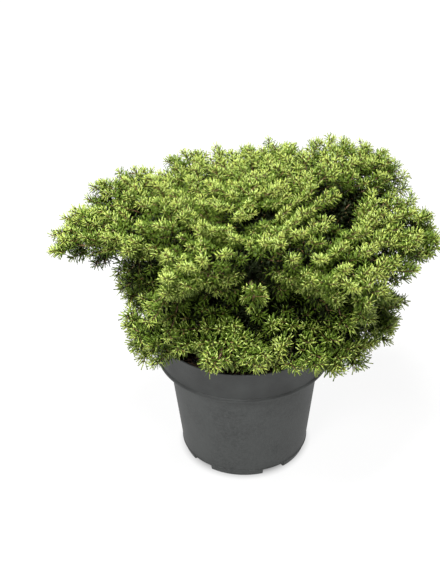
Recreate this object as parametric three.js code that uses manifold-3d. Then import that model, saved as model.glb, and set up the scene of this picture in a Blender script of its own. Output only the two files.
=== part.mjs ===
// Potted dwarf spruce: a low, wide cushion of needle sprays on short boughs, in a round nursery pot.
// Millimetres, +Z up. The origin is the middle of the pot's flat underside.
// The front of the plant faces -Y, and azimuths are degrees from +X towards +Y.

import * as THREE from 'three';
import { mergeVertices } from 'three/addons/utils/BufferGeometryUtils.js';
import Module from 'manifold-3d';

const wasm = await Module();
wasm.setup();

// Clearance between pieces that rest on each other
const GAP = 0.3;

// Pot
const POT_HEIGHT = 160;
const RIM_RADIUS = 96;
const COLLAR_HEIGHT = 38;
const COLLAR_FOOT_RADIUS = 93.2;
const COLLAR_BEAD = 1;
const WALL_TOP_RADIUS = 82.5;
const WALL_FOOT_RADIUS = 69;
const BASE_RADIUS = 67.5;
const BASE_CHAMFER = 2;
const WALL = 1.8;
const RIM_LIP = 0.7;
const RIM_LIP_DEPTH = 1.6;
const POT_SIDES = 48;

// Drainage bays between the feet of the pot
const BAY_COUNT = 5;
const FOOT_AZIMUTH = -99;
const BAY_WIDTH_DEG = 24;
const BAY_HEIGHT = 8;
const BAY_INNER_RADIUS = 49;
const BAY_ARC_STEPS = 4;
const DRAIN_RADIUS = 3.5;
const DRAIN_CENTRE_RADIUS = 58;
const DRAIN_SIDES = 10;

// How far a cutting shape runs on past the face that it cuts through
const CUT_PAST = 1;

// Compost
const COMPOST_TOP = 138;
const COMPOST_DOME = 2;
const COMPOST_FLAT_RADIUS = 62;
const COMPOST_SIDES = 24;

// Trunk: a short main stem with a flared foot, leaning a little to the right
const TRUNK_FOOT = new THREE.Vector3(-3, 1, COMPOST_TOP + COMPOST_DOME + GAP);
const TRUNK_TIP = new THREE.Vector3(7, 6, 268);
const TRUNK_RISE = new THREE.Vector3(0, 0, 45);
const TRUNK_LEAN = new THREE.Vector3(5, 3, 45);
const TRUNK_FOOT_RADIUS = 10;
const TRUNK_TIP_RADIUS = 4;
const TRUNK_FLARE = 6;
const TRUNK_FLARE_SHARE = 0.09;
const TRUNK_SIDES = 10;
const TRUNK_STEPS = 8;

// Boughs
// Room for the trunk's lean, so that a bough's level foot clears its bark
const LEAN_ROOM = 0.6;
const BOUGH_ENTRY = 0.62;
const BOUGH_LEVEL_SHARE = 0.32;
const BOUGH_TIP_RADIUS = 1.8;
const BOUGH_SIDES = 6;
const BOUGH_STEPS = 5;

// Tiers of the crown, from the top down. A lobe is a flattened ball of foliage that fills the tier's
// space from its inner radius to its reach, and level is the height of its middle.
// A lobe's squareness is 2 for an ellipsoid, and more for one whose sides are fuller.
const TIERS = [
  {
    name: 'top',
    innerRadius: 6,
    tilt: 6,
    boughRadius: 3.2,
    attach: [242, 256],
    azimuth: [38, 112, 184, 246, 318],
    reach: [146, 130, 128, 112, 126],
    level: [281, 264, 268, 268, 270],
    halfHeight: [46, 44, 44, 44, 44],
  },
  {
    name: 'shelf',
    innerRadius: 56,
    tilt: 4,
    boughRadius: 4,
    attach: [203, 225, 214],
    azimuth: [5, 39, 76, 112, 150, 182, 222, 275, 322],
    reach: [209, 212, 180, 176, 190, 206, 150, 140, 172],
    level: [258, 278, 268, 261, 264, 261, 258, 258, 254],
    halfHeight: [37, 38, 38, 38, 36, 29, 36, 38, 38],
  },
  {
    name: 'skirt',
    innerRadius: 16,
    tilt: -6,
    boughRadius: 3.4,
    attach: [160, 176],
    azimuth: [-13, 38, 86, 130, 170, 210, 256, 316],
    reach: [175, 158, 144, 138, 138, 144, 138, 164],
    level: [197, 200, 200, 200, 200, 189, 195, 192],
    halfHeight: [46, 46, 46, 46, 46, 46, 46, 46],
  },
];
const CROWN_MIDDLE = new THREE.Vector3(7, 8, 291);
const CROWN_HALF_WIDTH = 60;
const CROWN_HALF_HEIGHT = 40;
const LOBE_SQUARENESS = 2.4;

// Foliage
const SIDE_FILL = 1.7;
const CORE_SHARE = 0.72;
const CELL_MARGIN = 1;
const LIMB_CLEARANCE = 1;
const SPRAYS_TRIED = 30;
const SPRAY_OPEN_SHARE = 0.7;
const SPRAY_SMALLEST = 0.85;
const SPRAY_LARGEST = 1.1;
const SPRAY_TURN = 0.5;
const ROOT_SHARE = 0.25;
const GOLDEN_ANGLE = Math.PI * (3 - Math.sqrt(5));
const BLADE_TEETH = 6;
const BLADE_NOTCH = 0.4;
const BLADE_LENGTH = 24;
const BLADE_RIDGE = 0.3;
const POT_CLEARANCE = 1.5;
const SEED = 7;

const POT_PLASTIC = { color: 0x545654, roughness: 0.62 };
const COMPOST_BARK = { color: 0x2b2119, roughness: 0.95 };
const BARK = { color: 0x6d4a30, roughness: 0.9 };
const NEEDLES = { color: 0x6f7d34, roughness: 0.6 };

const radians = THREE.MathUtils.degToRad;
const lerp = THREE.MathUtils.lerp;

// Seeded numbers from 0 to 1, the same on every run
function seeded(seed) {
  let state = seed >>> 0;
  return () => {
    state = (state + 0x6d2b79f5) >>> 0;
    let word = state;
    word = Math.imul(word ^ (word >>> 15), word | 1);
    word ^= word + Math.imul(word ^ (word >>> 7), word | 61);
    return ((word ^ (word >>> 14)) >>> 0) / 4294967296;
  };
}

// Turns a closed three.js geometry into a solid that can be joined and cut
function solid(geometry) {
  const bare = geometry.clone();
  bare.deleteAttribute('normal');
  bare.deleteAttribute('uv');
  const merged = mergeVertices(bare, 1e-4);
  return new wasm.Manifold(
    new wasm.Mesh({
      numProp: 3,
      vertProperties: new Float32Array(merged.getAttribute('position').array),
      triVerts: new Uint32Array(merged.index.array),
    }),
  );
}

function geometryOf(shape) {
  const mesh = shape.getMesh();
  const geometry = new THREE.BufferGeometry();
  geometry.setAttribute('position', new THREE.BufferAttribute(mesh.vertProperties, 3));
  geometry.setIndex(new THREE.BufferAttribute(mesh.triVerts, 1));
  geometry.computeVertexNormals();
  return geometry;
}

// The largest of a shape's separate pieces, without the scraps that a cut left loose
function withoutScraps(shape) {
  const { vertProperties, triVerts } = shape.getMesh();
  const group = Array.from({ length: vertProperties.length / 3 }, (_, i) => i);
  const find = (i) => {
    let top = i;
    while (group[top] !== top) {
      top = group[top];
    }
    return top;
  };
  for (let i = 0; i < triVerts.length; i += 3) {
    const first = find(triVerts[i]);
    group[find(triVerts[i + 1])] = first;
    group[find(triVerts[i + 2])] = first;
  }
  const counts = new Map();
  triVerts.forEach((vertex) => counts.set(find(vertex), (counts.get(find(vertex)) ?? 0) + 1));
  const largest = [...counts].reduce((most, one) => (one[1] > most[1] ? one : most))[0];
  const kept = new THREE.BufferGeometry();
  kept.setAttribute('position', new THREE.BufferAttribute(vertProperties, 3));
  kept.setIndex(Array.from(triVerts).filter((vertex) => find(vertex) === largest));
  return solid(kept.toNonIndexed());
}

function named(name, shape, finish) {
  const material = new THREE.MeshStandardMaterial({ ...finish, metalness: 0 });
  const mesh = new THREE.Mesh(geometryOf(shape), material);
  mesh.name = name;
  return mesh;
}

// A turned solid about the Z axis, from points of radius and height that start and end on the axis
function turned(points, sides) {
  const profile = points.map(([radius, z]) => new THREE.Vector2(radius, z));
  return solid(new THREE.LatheGeometry(profile, sides).rotateX(Math.PI / 2));
}

// A limb: a closed cylinder whose rings are laid along a curve, with its own radius at each share of it.
// With grow above 0 it is larger by that all over, and longer at both ends.
function limb(curve, radiusAt, sides, steps, grow = 0) {
  const geometry = new THREE.CylinderGeometry(1, 1, 1, sides, steps);
  const frames = curve.computeFrenetFrames(steps, false);
  const position = geometry.getAttribute('position');
  for (let i = 0; i < position.count; i += 1) {
    const along = position.getY(i) + 0.5;
    const step = Math.round(along * steps);
    const radius = radiusAt(along) + grow;
    const past = Number(step === steps) - Number(step === 0);
    const point = curve
      .getPointAt(along)
      .addScaledVector(frames.normals[step], position.getX(i) * radius)
      .addScaledVector(frames.binormals[step], -position.getZ(i) * radius)
      .addScaledVector(frames.tangents[step], past * grow);
    position.setXYZ(i, point.x, point.y, point.z);
  }
  return solid(geometry);
}

// Pot
// The inside of the pot, drawn in by inset from its walls and filled up to top
function potInside(inset, top) {
  const ledge = POT_HEIGHT - COLLAR_HEIGHT + WALL + inset;
  const share = (top - ledge) / COLLAR_HEIGHT;
  return [
    [0, WALL + inset],
    [WALL_FOOT_RADIUS - WALL - inset, WALL + inset],
    [WALL_TOP_RADIUS - WALL - inset, ledge],
    [COLLAR_FOOT_RADIUS - WALL - inset, ledge],
    [lerp(COLLAR_FOOT_RADIUS, RIM_RADIUS, share) - WALL - inset, top],
  ];
}

// Copies of a shape on the +X side of the pot, one turned to the middle of each bay
function atEachBay(geometry) {
  const copies = [];
  for (let i = 0; i < BAY_COUNT; i += 1) {
    const azimuth = radians(FOOT_AZIMUTH + (360 / BAY_COUNT) * (i + 0.5));
    copies.push(solid(geometry.clone().rotateZ(azimuth)));
  }
  return copies.reduce((all, copy) => all.add(copy));
}

// The drainage bays, or the blocks round them when grow is above 0
function bays(grow) {
  const half = radians(BAY_WIDTH_DEG / 2) + grow / BASE_RADIUS;
  const sector = new THREE.Shape();
  sector.absarc(0, 0, WALL_FOOT_RADIUS + CUT_PAST, -half, half, false);
  sector.absarc(0, 0, BAY_INNER_RADIUS - grow, half, -half, true);
  const block = new THREE.ExtrudeGeometry(sector, {
    depth: BAY_HEIGHT + grow + CUT_PAST,
    bevelEnabled: false,
    curveSegments: BAY_ARC_STEPS,
  });
  return atEachBay(block.translate(0, 0, -CUT_PAST));
}

function drainHoles() {
  const depth = WALL + 2 * CUT_PAST;
  const hole = new THREE.CylinderGeometry(DRAIN_RADIUS, DRAIN_RADIUS, depth, DRAIN_SIDES)
    .rotateX(Math.PI / 2)
    .translate(DRAIN_CENTRE_RADIUS, 0, BAY_HEIGHT + WALL / 2);
  return atEachBay(hole);
}

function makePot() {
  const collarFoot = POT_HEIGHT - COLLAR_HEIGHT;
  const outside = turned(
    [
      [0, 0],
      [BASE_RADIUS - BASE_CHAMFER, 0],
      [BASE_RADIUS, BASE_CHAMFER],
      [WALL_FOOT_RADIUS, BAY_HEIGHT],
      [WALL_TOP_RADIUS, collarFoot],
      [COLLAR_FOOT_RADIUS, collarFoot],
      [COLLAR_FOOT_RADIUS + COLLAR_BEAD, collarFoot + COLLAR_BEAD],
      [COLLAR_FOOT_RADIUS + COLLAR_BEAD, collarFoot + COLLAR_BEAD * 2],
      [COLLAR_FOOT_RADIUS + COLLAR_BEAD / 3, collarFoot + COLLAR_BEAD * 3],
      [RIM_RADIUS - RIM_LIP, POT_HEIGHT - RIM_LIP_DEPTH - RIM_LIP],
      [RIM_RADIUS, POT_HEIGHT - RIM_LIP_DEPTH],
      [RIM_RADIUS, POT_HEIGHT - RIM_LIP],
      [RIM_RADIUS - RIM_LIP, POT_HEIGHT],
      [0, POT_HEIGHT],
    ],
    POT_SIDES,
  );
  const above = POT_HEIGHT + CUT_PAST;
  const inside = turned([...potInside(0, above), [0, above]], POT_SIDES).subtract(bays(WALL));
  const shape = outside.subtract(inside).subtract(bays(0)).subtract(drainHoles());
  return named('pot', shape, POT_PLASTIC);
}

// The space that foliage keeps clear of, a little larger than the whole pot
function makePotSpace() {
  const radius = RIM_RADIUS + POT_CLEARANCE;
  const height = POT_HEIGHT + POT_CLEARANCE;
  return turned([[0, 0], [radius, 0], [radius, height], [0, height]], POT_SIDES);
}

// The compost fills the pot to a low dome, with a flat middle under the trunk
function makeCompost() {
  const domeTop = COMPOST_TOP + COMPOST_DOME;
  const profile = [...potInside(GAP, COMPOST_TOP), [COMPOST_FLAT_RADIUS, domeTop], [0, domeTop]];
  const shape = turned(profile, COMPOST_SIDES).subtract(bays(WALL + GAP));
  return named('compost', shape, COMPOST_BARK);
}

// Trunk
// Straight up from the ground, then over to the tip
const trunkCurve = new THREE.CubicBezierCurve3(
  TRUNK_FOOT,
  TRUNK_FOOT.clone().add(TRUNK_RISE),
  TRUNK_TIP.clone().sub(TRUNK_LEAN),
  TRUNK_TIP,
);

function trunkRadius(along) {
  const flare = TRUNK_FLARE * Math.exp(-along / TRUNK_FLARE_SHARE);
  return lerp(TRUNK_FOOT_RADIUS, TRUNK_TIP_RADIUS, along) + flare;
}

// The trunk, or with grow above 0 the space to be kept clear round it
function makeTrunk(grow) {
  return limb(trunkCurve, trunkRadius, TRUNK_SIDES, TRUNK_STEPS, grow);
}

// Lobes of the crown
// Each lobe has its middle, its three axes and half-sizes, and where its bough leaves the trunk.
function layOutLobes() {
  const lobes = [];
  TIERS.forEach((tier) => {
    const count = tier.reach.length;
    for (let i = 0; i < count; i += 1) {
      const azimuth = radians(tier.azimuth[i]);
      const before = i > 0 ? tier.azimuth[i - 1] : tier.azimuth[count - 1] - 360;
      const after = i < count - 1 ? tier.azimuth[i + 1] : tier.azimuth[0] + 360;
      const outward = new THREE.Vector3(Math.cos(azimuth), Math.sin(azimuth), 0);
      const middleRadius = (tier.reach[i] + tier.innerRadius) / 2;
      const up = new THREE.Vector3(0, 0, 1);
      const across = new THREE.Vector3().crossVectors(up, outward);
      const axis = outward.clone().applyAxisAngle(across, -radians(tier.tilt));
      lobes.push({
        name: tier.name,
        number: i + 1,
        outward,
        middle: outward.clone().multiplyScalar(middleRadius).setZ(tier.level[i]),
        axes: [axis, across, new THREE.Vector3().crossVectors(axis, across)],
        halves: [
          (tier.reach[i] - tier.innerRadius) / 2,
          (radians(after - before) / 4) * middleRadius * SIDE_FILL,
          tier.halfHeight[i],
        ],
        boughRadius: tier.boughRadius,
        attach: tier.attach[i % tier.attach.length],
      });
    }
  });
  lobes.push({
    name: 'crown',
    number: 1,
    outward: null,
    middle: CROWN_MIDDLE,
    axes: [
      new THREE.Vector3(1, 0, 0),
      new THREE.Vector3(0, 1, 0),
      new THREE.Vector3(0, 0, 1),
    ],
    halves: [CROWN_HALF_WIDTH, CROWN_HALF_WIDTH, CROWN_HALF_HEIGHT],
  });
  addWalls(lobes);
  return lobes;
}

// How far an offset goes from a lobe's middle: 1 is to its surface
function lobeShare(lobe, offset) {
  const shares = lobe.axes.map((axis, i) => Math.abs(offset.dot(axis)) / lobe.halves[i]);
  return shares.reduce((sum, share) => sum + share ** LOBE_SQUARENESS, 0) ** (1 / LOBE_SQUARENESS);
}

// Flat walls between neighbouring lobes, each where the two lobes' surfaces share out the way between
// their middles, so that every lobe's space is convex
function addWalls(lobes) {
  lobes.forEach((lobe) => {
    lobe.walls = lobes
      .filter((other) => other !== lobe)
      .map((other) => {
        const way = other.middle.clone().sub(lobe.middle);
        const share = lobeShare(other, way) / (lobeShare(lobe, way) + lobeShare(other, way));
        const point = lobe.middle.clone().addScaledVector(way, share);
        return new THREE.Plane().setFromNormalAndCoplanarPoint(way.normalize(), point);
      });
  });
}

// Whether a point lies in a lobe's own space, clear of its neighbours and of the pot
function inOwnSpace(lobe, point, margin) {
  const inPot = Math.hypot(point.x, point.y) < RIM_RADIUS + POT_CLEARANCE
    && point.z < POT_HEIGHT + POT_CLEARANCE;
  return (
    !inPot
    && lobeShare(lobe, point.clone().sub(lobe.middle)) <= 1
    && lobe.walls.every((wall) => wall.distanceToPoint(point) < -margin)
  );
}

// How far one can go from a lobe's middle in a direction and stay in its own space
function reachAlong(lobe, direction) {
  let far = 0;
  while (inOwnSpace(lobe, lobe.middle.clone().addScaledVector(direction, far + 1), CELL_MARGIN)) {
    far += 1;
  }
  return far;
}

// Boughs
// Where a bough ends and the stem of its mass begins
function boughTip(lobe) {
  const inward = lobe.axes[0].clone().negate();
  return lobe.middle.clone().addScaledVector(inward, reachAlong(lobe, inward) * BOUGH_ENTRY);
}

// A bough leaves the trunk level, then rises or droops to its lobe and ends just inside it. With grow
// above 0 it is the space to be kept clear round the bough.
function makeBough(lobe, grow) {
  const trunkShare = (lobe.attach - TRUNK_FOOT.z) / (TRUNK_TIP.z - TRUNK_FOOT.z);
  const start = trunkCurve
    .getPointAt(trunkShare)
    .addScaledVector(lobe.outward, trunkRadius(trunkShare) + GAP + LEAN_ROOM);
  const tip = boughTip(lobe);
  const length = tip.distanceTo(start);
  const curve = new THREE.CubicBezierCurve3(
    start,
    start.clone().addScaledVector(lobe.outward, length * BOUGH_LEVEL_SHARE),
    tip.clone().addScaledVector(lobe.axes[0], -length * BOUGH_LEVEL_SHARE),
    tip,
  );
  const radiusAt = (along) => lerp(lobe.boughRadius, BOUGH_TIP_RADIUS, along);
  return limb(curve, radiusAt, BOUGH_SIDES, BOUGH_STEPS, grow);
}

// Foliage
// One spray: a toothed blade of needles whose rear tooth is drawn out into the twig that it grows on
function makeSpray(root, tip, roll, size) {
  const direction = tip.clone().sub(root).normalize();
  const turn = new THREE.Quaternion().setFromUnitVectors(new THREE.Vector3(0, 0, 1), direction);
  turn.multiply(new THREE.Quaternion().setFromAxisAngle(new THREE.Vector3(0, 0, 1), roll));
  const heart = tip.clone().addScaledVector(direction, -size);
  const twigLength = heart.clone().sub(root).length();
  const blade = new THREE.SphereGeometry(1, BLADE_TEETH * 2, 2, Math.PI / 2);
  const position = blade.getAttribute('position');
  for (let i = 0; i < position.count; i += 1) {
    const [x, y, z] = [position.getX(i), position.getY(i), position.getZ(i)];
    const angle = Math.atan2(x, z);
    const tooth = Math.abs(Math.round((angle / Math.PI) * BLADE_TEETH));
    let length = tooth % 2 === 0 ? size : size * BLADE_NOTCH;
    if (tooth === BLADE_TEETH) {
      length = twigLength;
    }
    length *= Math.hypot(x, z);
    position.setXYZ(
      i,
      Math.sin(angle) * length,
      y * BLADE_RIDGE * size,
      Math.cos(angle) * length,
    );
  }
  return solid(blade.applyQuaternion(turn).translate(heart.x, heart.y, heart.z));
}

function verticesOf(shape) {
  const { vertProperties } = shape.getMesh();
  const points = [];
  for (let i = 0; i < vertProperties.length; i += 3) {
    points.push(new THREE.Vector3().fromArray(vertProperties, i));
  }
  return points;
}

function touches(shape, other) {
  return shape.intersect(other).getMesh().triVerts.length > 0;
}

// The dense middle of a mass: a ball drawn out to a share of the lobe's reach in every direction
function makeCore(lobe) {
  const ball = new THREE.IcosahedronGeometry(1, 1);
  const position = ball.getAttribute('position');
  for (let i = 0; i < position.count; i += 1) {
    const direction = new THREE.Vector3();
    lobe.axes.forEach((axis, k) => {
      direction.addScaledVector(axis, position.getComponent(i, k) * lobe.halves[k]);
    });
    direction.normalize();
    const radius = Math.min(reachAlong(lobe, direction), CORE_SHARE / lobeShare(lobe, direction));
    const point = direction.multiplyScalar(radius).add(lobe.middle);
    position.setXYZ(i, point.x, point.y, point.z);
  }
  return solid(ball);
}

// The stem of a mass, which carries on its bough, or the trunk, into the core
function makeStem(lobe) {
  const from = lobe.outward ? boughTip(lobe) : TRUNK_TIP;
  const start = from.clone().lerp(lobe.middle, GAP / from.distanceTo(lobe.middle));
  const line = new THREE.LineCurve3(start, lobe.middle);
  return limb(line, () => BOUGH_TIP_RADIUS, BOUGH_SIDES, 1);
}

// A mass: stem, core, and sprays spread evenly round it by a seeded rule. A spray that would leave the
// lobe's space, or touch a limb or the pot, is skipped.
function makeMass(lobe, keptClear, seed) {
  const random = seeded(seed);
  let mass = makeCore(lobe).subtract(keptClear).add(makeStem(lobe));
  for (let i = 0; i < SPRAYS_TRIED; i += 1) {
    const height = 1 - (2 * (i + 0.5)) / SPRAYS_TRIED;
    const around = i * GOLDEN_ANGLE + random() * SPRAY_TURN;
    const level = Math.sqrt(1 - height * height);
    const local = [level * Math.cos(around), level * Math.sin(around), height];
    const direction = new THREE.Vector3();
    lobe.axes.forEach((axis, k) => {
      direction.addScaledVector(axis, local[k] * lobe.halves[k]);
    });
    const whole = direction.length();
    direction.normalize();
    const roll = random() * Math.PI;
    const size = BLADE_LENGTH * lerp(SPRAY_SMALLEST, SPRAY_LARGEST, random());
    const open = reachAlong(lobe, direction);
    const root = lobe.middle.clone().addScaledVector(direction, open * ROOT_SHARE);
    const tip = lobe.middle.clone().addScaledVector(direction, open);
    const spray = makeSpray(root, tip, roll, size);
    const inside = verticesOf(spray).every((point) => inOwnSpace(lobe, point, 0));
    if (open > whole * SPRAY_OPEN_SHARE && inside && !touches(spray, keptClear)) {
      mass = mass.add(spray);
    }
  }
  return withoutScraps(mass);
}

// Whole plant
const plant = new THREE.Group();
plant.add(makePot());
plant.add(makeCompost());
plant.add(named('trunk', makeTrunk(0), BARK));

const lobes = layOutLobes();
let keptClear = makeTrunk(LIMB_CLEARANCE).add(makePotSpace());
lobes
  .filter((lobe) => lobe.outward)
  .forEach((lobe) => {
    plant.add(named(`${lobe.name}_bough_${lobe.number}`, makeBough(lobe, 0), BARK));
    keptClear = keptClear.add(makeBough(lobe, LIMB_CLEARANCE));
  });

lobes.forEach((lobe, i) => {
  plant.add(named(`${lobe.name}_mass_${lobe.number}`, makeMass(lobe, keptClear, SEED + i), NEEDLES));
});

export default plant;
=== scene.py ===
"""Potted dwarf spruce: a low, wide cushion of needled shoots in layers, in a dark grey nursery pot.

Lengths are in millimetres where no comment says metres, and a mesh is made in metres. +Z is up, and
the plant's front faces -Y. Azimuths are degrees from +X towards +Y.
"""

import math
from collections import namedtuple
from dataclasses import dataclass

import bpy
import numpy as np
from mathutils import Matrix, Vector


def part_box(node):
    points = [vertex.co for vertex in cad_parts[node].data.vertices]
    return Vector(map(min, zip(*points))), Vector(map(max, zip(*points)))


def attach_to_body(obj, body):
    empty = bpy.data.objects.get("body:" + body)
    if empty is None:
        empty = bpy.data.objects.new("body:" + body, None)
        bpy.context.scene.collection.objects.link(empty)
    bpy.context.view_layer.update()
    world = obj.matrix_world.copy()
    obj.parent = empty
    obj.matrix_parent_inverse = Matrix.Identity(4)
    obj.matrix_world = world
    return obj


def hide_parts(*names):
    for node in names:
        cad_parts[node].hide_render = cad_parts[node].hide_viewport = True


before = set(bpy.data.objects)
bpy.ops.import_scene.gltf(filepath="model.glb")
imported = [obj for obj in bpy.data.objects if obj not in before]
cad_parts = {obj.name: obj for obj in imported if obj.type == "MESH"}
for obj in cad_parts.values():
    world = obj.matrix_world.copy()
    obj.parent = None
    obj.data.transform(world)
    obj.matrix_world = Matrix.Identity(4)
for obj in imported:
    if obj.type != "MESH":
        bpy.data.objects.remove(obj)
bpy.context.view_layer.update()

bl_info = {
    "name": "Potted dwarf spruce",
    "version": (1, 0, 0),
    "blender": (4, 5, 0),
    "location": "3D View > Sidebar > Spruce",
    "description": "Grows a dwarf spruce from its limbs, and finishes its pot, compost and bark",
    "category": "Object",
}

MM = 0.001
GOLDEN_ANGLE = math.pi * (3 - math.sqrt(5))
UP = np.array([0.0, 0.0, 1.0])
LEVEL = np.array([1.0, 1.0, 0.0])
# A slanting way, to find a side of a twig from
SKEW = [0.31, 0.23, 0.92]

# Pot
POT_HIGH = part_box("pot")[1]
POT_HEIGHT = POT_HIGH.z / MM
RIM_RADIUS = POT_HIGH.x / MM
COLLAR_HEIGHT = 38
COLLAR_FOOT_RADIUS = 93.2
COLLAR_BEAD = 1.5
WALL_TOP_RADIUS = 82.5
WALL_FOOT_RADIUS = 69
BASE_RADIUS = 67.5
BASE_CHAMFER = 2
HUB_RADIUS = 20
FOOT_RIDGE = 0.8
WALL = 1.8
FLOOR_TOP = 10
BAY_COUNT = 5
FOOT_AZIMUTH = -99
BAY_WIDTH_DEG = 24
BAY_HEIGHT = 8
BAY_INNER_RADIUS = 49
BAY_OVERRUN = 3
DRAIN_RADIUS = 3.5
DRAIN_CENTRE_RADIUS = 58
DRAIN_DEPTH = 6
EDGE_ROUNDING = 0.35
# Middle of a small spot on the pot's wall that is painted much darker, and its radius
DARK_SPOT = (76.5, -1.0, 64.0)
DARK_SPOT_RADIUS = 2.4
POT_SIDES = 160
DRAIN_SIDES = 24
# How far the rings of the lip lie in from the rim's radius, and down from its top
LIP_RINGS = ((0.9, 3), (0.2, 1.8), (0, 1), (0.3, 0.3), (1, 0), (1.5, 0.3), (WALL, 1.2))
# The least angles, in degrees, of edges that are rounded, and of edges that stay sharp
ROUNDED_ANGLE = 50
SHARP_ANGLE = 35

# Compost and the chips of bark on it
COMPOST_TOP = 138
COMPOST_DOME = 2
COMPOST_DOME_RADIUS = 62
COMPOST_GAP = 0.4
COMPOST_SIDES = 128
COMPOST_RINGS_IN = (0, 2, 5, 9, 13, 17, 22, 27)
COMPOST_DOME_RINGS = (*range(COMPOST_DOME_RADIUS, 9, -6), 9, 4)
CRUMB_SIZE = 8
CRUMB_RISE = 4
CRUMB_LEVEL = 0.62
CHIP_HALVES = np.array([1.0, 0.55, 0.2])
CHIP_SIZES = (0.45, 1.35)
CHIP_CORNERS = (0.65, 1.15)
CHIP_TILT = 0.5
CHIP_SPREAD = (0.05, 1.0)
CHIP_LIFT = (-0.5, 1.6)

# Trunk
TRUNK_FOOT = np.array([-3.0, 1.0, 140.3])
TRUNK_TIP = np.array([7.0, 6.0, 268.0])
TRUNK_RISE = np.array([0.0, 0.0, 45.0])
TRUNK_LEAN = np.array([5.0, 3.0, 45.0])
TRUNK_FOOT_RADIUS = 10
TRUNK_TIP_RADIUS = 4
TRUNK_FLARE = 6
TRUNK_FLARE_SHARE = 0.09
TRUNK_STEPS = 24

# Boughs
GAP = 0.3
LEAN_ROOM = 0.6
BOUGH_ENTRY = 0.62
BOUGH_LEVEL_SHARE = 0.32
BOUGH_TIP_RADIUS = 1.8
BOUGH_STEPS = 10
BOUGH_RELIEF_SHARE = 0.6
BARK_SCALE = 4
LIMB_FINENESS = 6
WELD_DISTANCE = 0.01
CURVE_POINTS = 201

# Tiers of the crown, from the top down. A lobe is a flattened ball of foliage from the tier's inner
# radius to its reach, and level is the height of its middle.
TIERS = [
    {
        "name": "top",
        "inner_radius": 6,
        "tilt": 6,
        "bough_radius": 3.2,
        "attach": [242, 256],
        "azimuth": [38, 112, 184, 246, 318],
        "reach": [146, 130, 128, 112, 126],
        "level": [281, 264, 268, 268, 270],
        "half_height": [46, 44, 44, 44, 44],
    },
    {
        "name": "shelf",
        "inner_radius": 56,
        "tilt": 4,
        "bough_radius": 4,
        "attach": [203, 225, 214],
        "azimuth": [5, 39, 76, 112, 150, 182, 222, 275, 322],
        "reach": [209, 212, 180, 176, 190, 206, 150, 140, 172],
        "level": [258, 278, 268, 261, 264, 261, 258, 258, 254],
        "half_height": [37, 38, 38, 38, 36, 29, 36, 38, 38],
    },
    {
        "name": "skirt",
        "inner_radius": 16,
        "tilt": -6,
        "bough_radius": 3.4,
        "attach": [160, 176],
        "azimuth": [-13, 38, 86, 130, 170, 210, 256, 316],
        "reach": [175, 158, 144, 138, 138, 144, 138, 164],
        "level": [197, 200, 200, 200, 200, 189, 195, 192],
        "half_height": [46, 46, 46, 46, 46, 46, 46, 46],
    },
]
CROWN_MIDDLE = np.array([7.0, 8.0, 291.0])
CROWN_HALVES = np.array([60.0, 60.0, 40.0])
SIDE_FILL = 1.7
LOBE_SQUARENESS = 2.4
CELL_MARGIN = 1
POT_CLEARANCE = 1.5
FARTHEST_REACH = 200
LEAST_SHARE = 0.05
BLEND = 6
SEED = 7

# Spots that the foliage leaves bare, each a rod from one place to another with its radius
BARE_SPOTS = [
    # Over the compost and rim at the front left
    ((-57, -36, 138), (-57, -125, 195), 12),
    ((-88, -84, 156), (-45, -84, 163), 16),
    # Below the lowest layer at the front
    ((-45, -122, 153), (20, -124, 153), 31),
    ((20, -126, 155), (75, -126, 155), 25),
    ((68, -92, 153), (126, -98, 158), 13),
    # Below, between and above the layers' ends at the left
    ((-205, -48, 246), (-140, -62, 238), 21),
    ((-130, -58, 190), (-122, -66, 184), 9),
    ((-190, 30, 284), (-160, 78, 296), 9),
    # Behind and above the top's far edge
    ((-12, 152, 302), (62, 165, 302), 13),
    ((0, 132, 328), (60, 142, 328), 23),
    # Before the front layer, whose edge stands back, and the recess under it
    ((-85, -155, 250), (72, -157, 250), 55),
    ((-46, -112, 238), (58, -112, 238), 34),
    # Recess in the front left
    ((-150, -32, 252), (-98, -50, 252), 21),
    ((-155, -52, 262), (-100, -72, 262), 22),
]

# Stems and twigs
MIDDLING_HALF = 58
STEM_SHARE = 0.6
STEM_USED = (0.02, 0.98)
STEM_SHOOTS = 9
STEM_SHOOT_LENGTH = 14
STEM_TIP_RADIUS = 1.0
STEM_SIDES = 8
TWIG_SIDES = 3
SPRAY_TURN = 0.5
SPRAY_OPEN_SHARE = 0.7
SHORTEST_TWIG = 16
TWIG_REACH = (0.88, 1.0)
WALL_PAST = 1.5
NEEDLE_PAST = 5
LAYER_SPACING = 25
LAYER_PULL = 0.4
TWIG_SWEEP = 0.7
TWIG_OWN_WAY = 0.6
TWIG_OUTWARD = 0.85
TWIG_UPTURN = (-0.12, 0.36)
TWIG_STRAY = 0.45
TWIG_TURN_SHARE = 0.5
TWIG_POINTS = 6
TWIG_ROOT_RADIUS = 0.9
TWIG_TIP_RADIUS = 0.5
FAN_TILT = 0.4
FAN_ROLL = 0.5

# Shoots: angles in degrees
TERMINAL_LENGTH = (18, 14)
TERMINAL_MOST_SHARE = 0.8
NEEDLED_TWIG_SHARE = 1.3
SIDE_FIRST = 7.5
SIDE_SPACING = (8.2, 6.3)
SIDE_SPACING_SPREAD = (0.85, 1.15)
SIDE_LAST_SHARE = 0.85
SIDE_ANGLE = 48
SIDE_ANGLE_SPREAD = 8
SIDE_LIFT = (-10, 34)
SIDE_LENGTH_SPREAD = (0.8, 1.15)
SIDE_LENGTH_FIRST = 0.7
SIDE_LENGTH_STEP = 0.15
SIDE_LENGTH_MOST = 1.2
CUT_BACK_SHARE = 0.6
SHOOT_RADIUS = 0.5
SHOOT_TAPER = 0.6
SHORT_SHOOT_SHARE = 0.8
SHORT_NEEDLE_HEIGHT = 300
LONG_NEEDLE_HEIGHT = 215
BUD_LENGTH = 2.6
BUD_BEHIND = 0.3
BUD_RADIUS = 0.75

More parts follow.
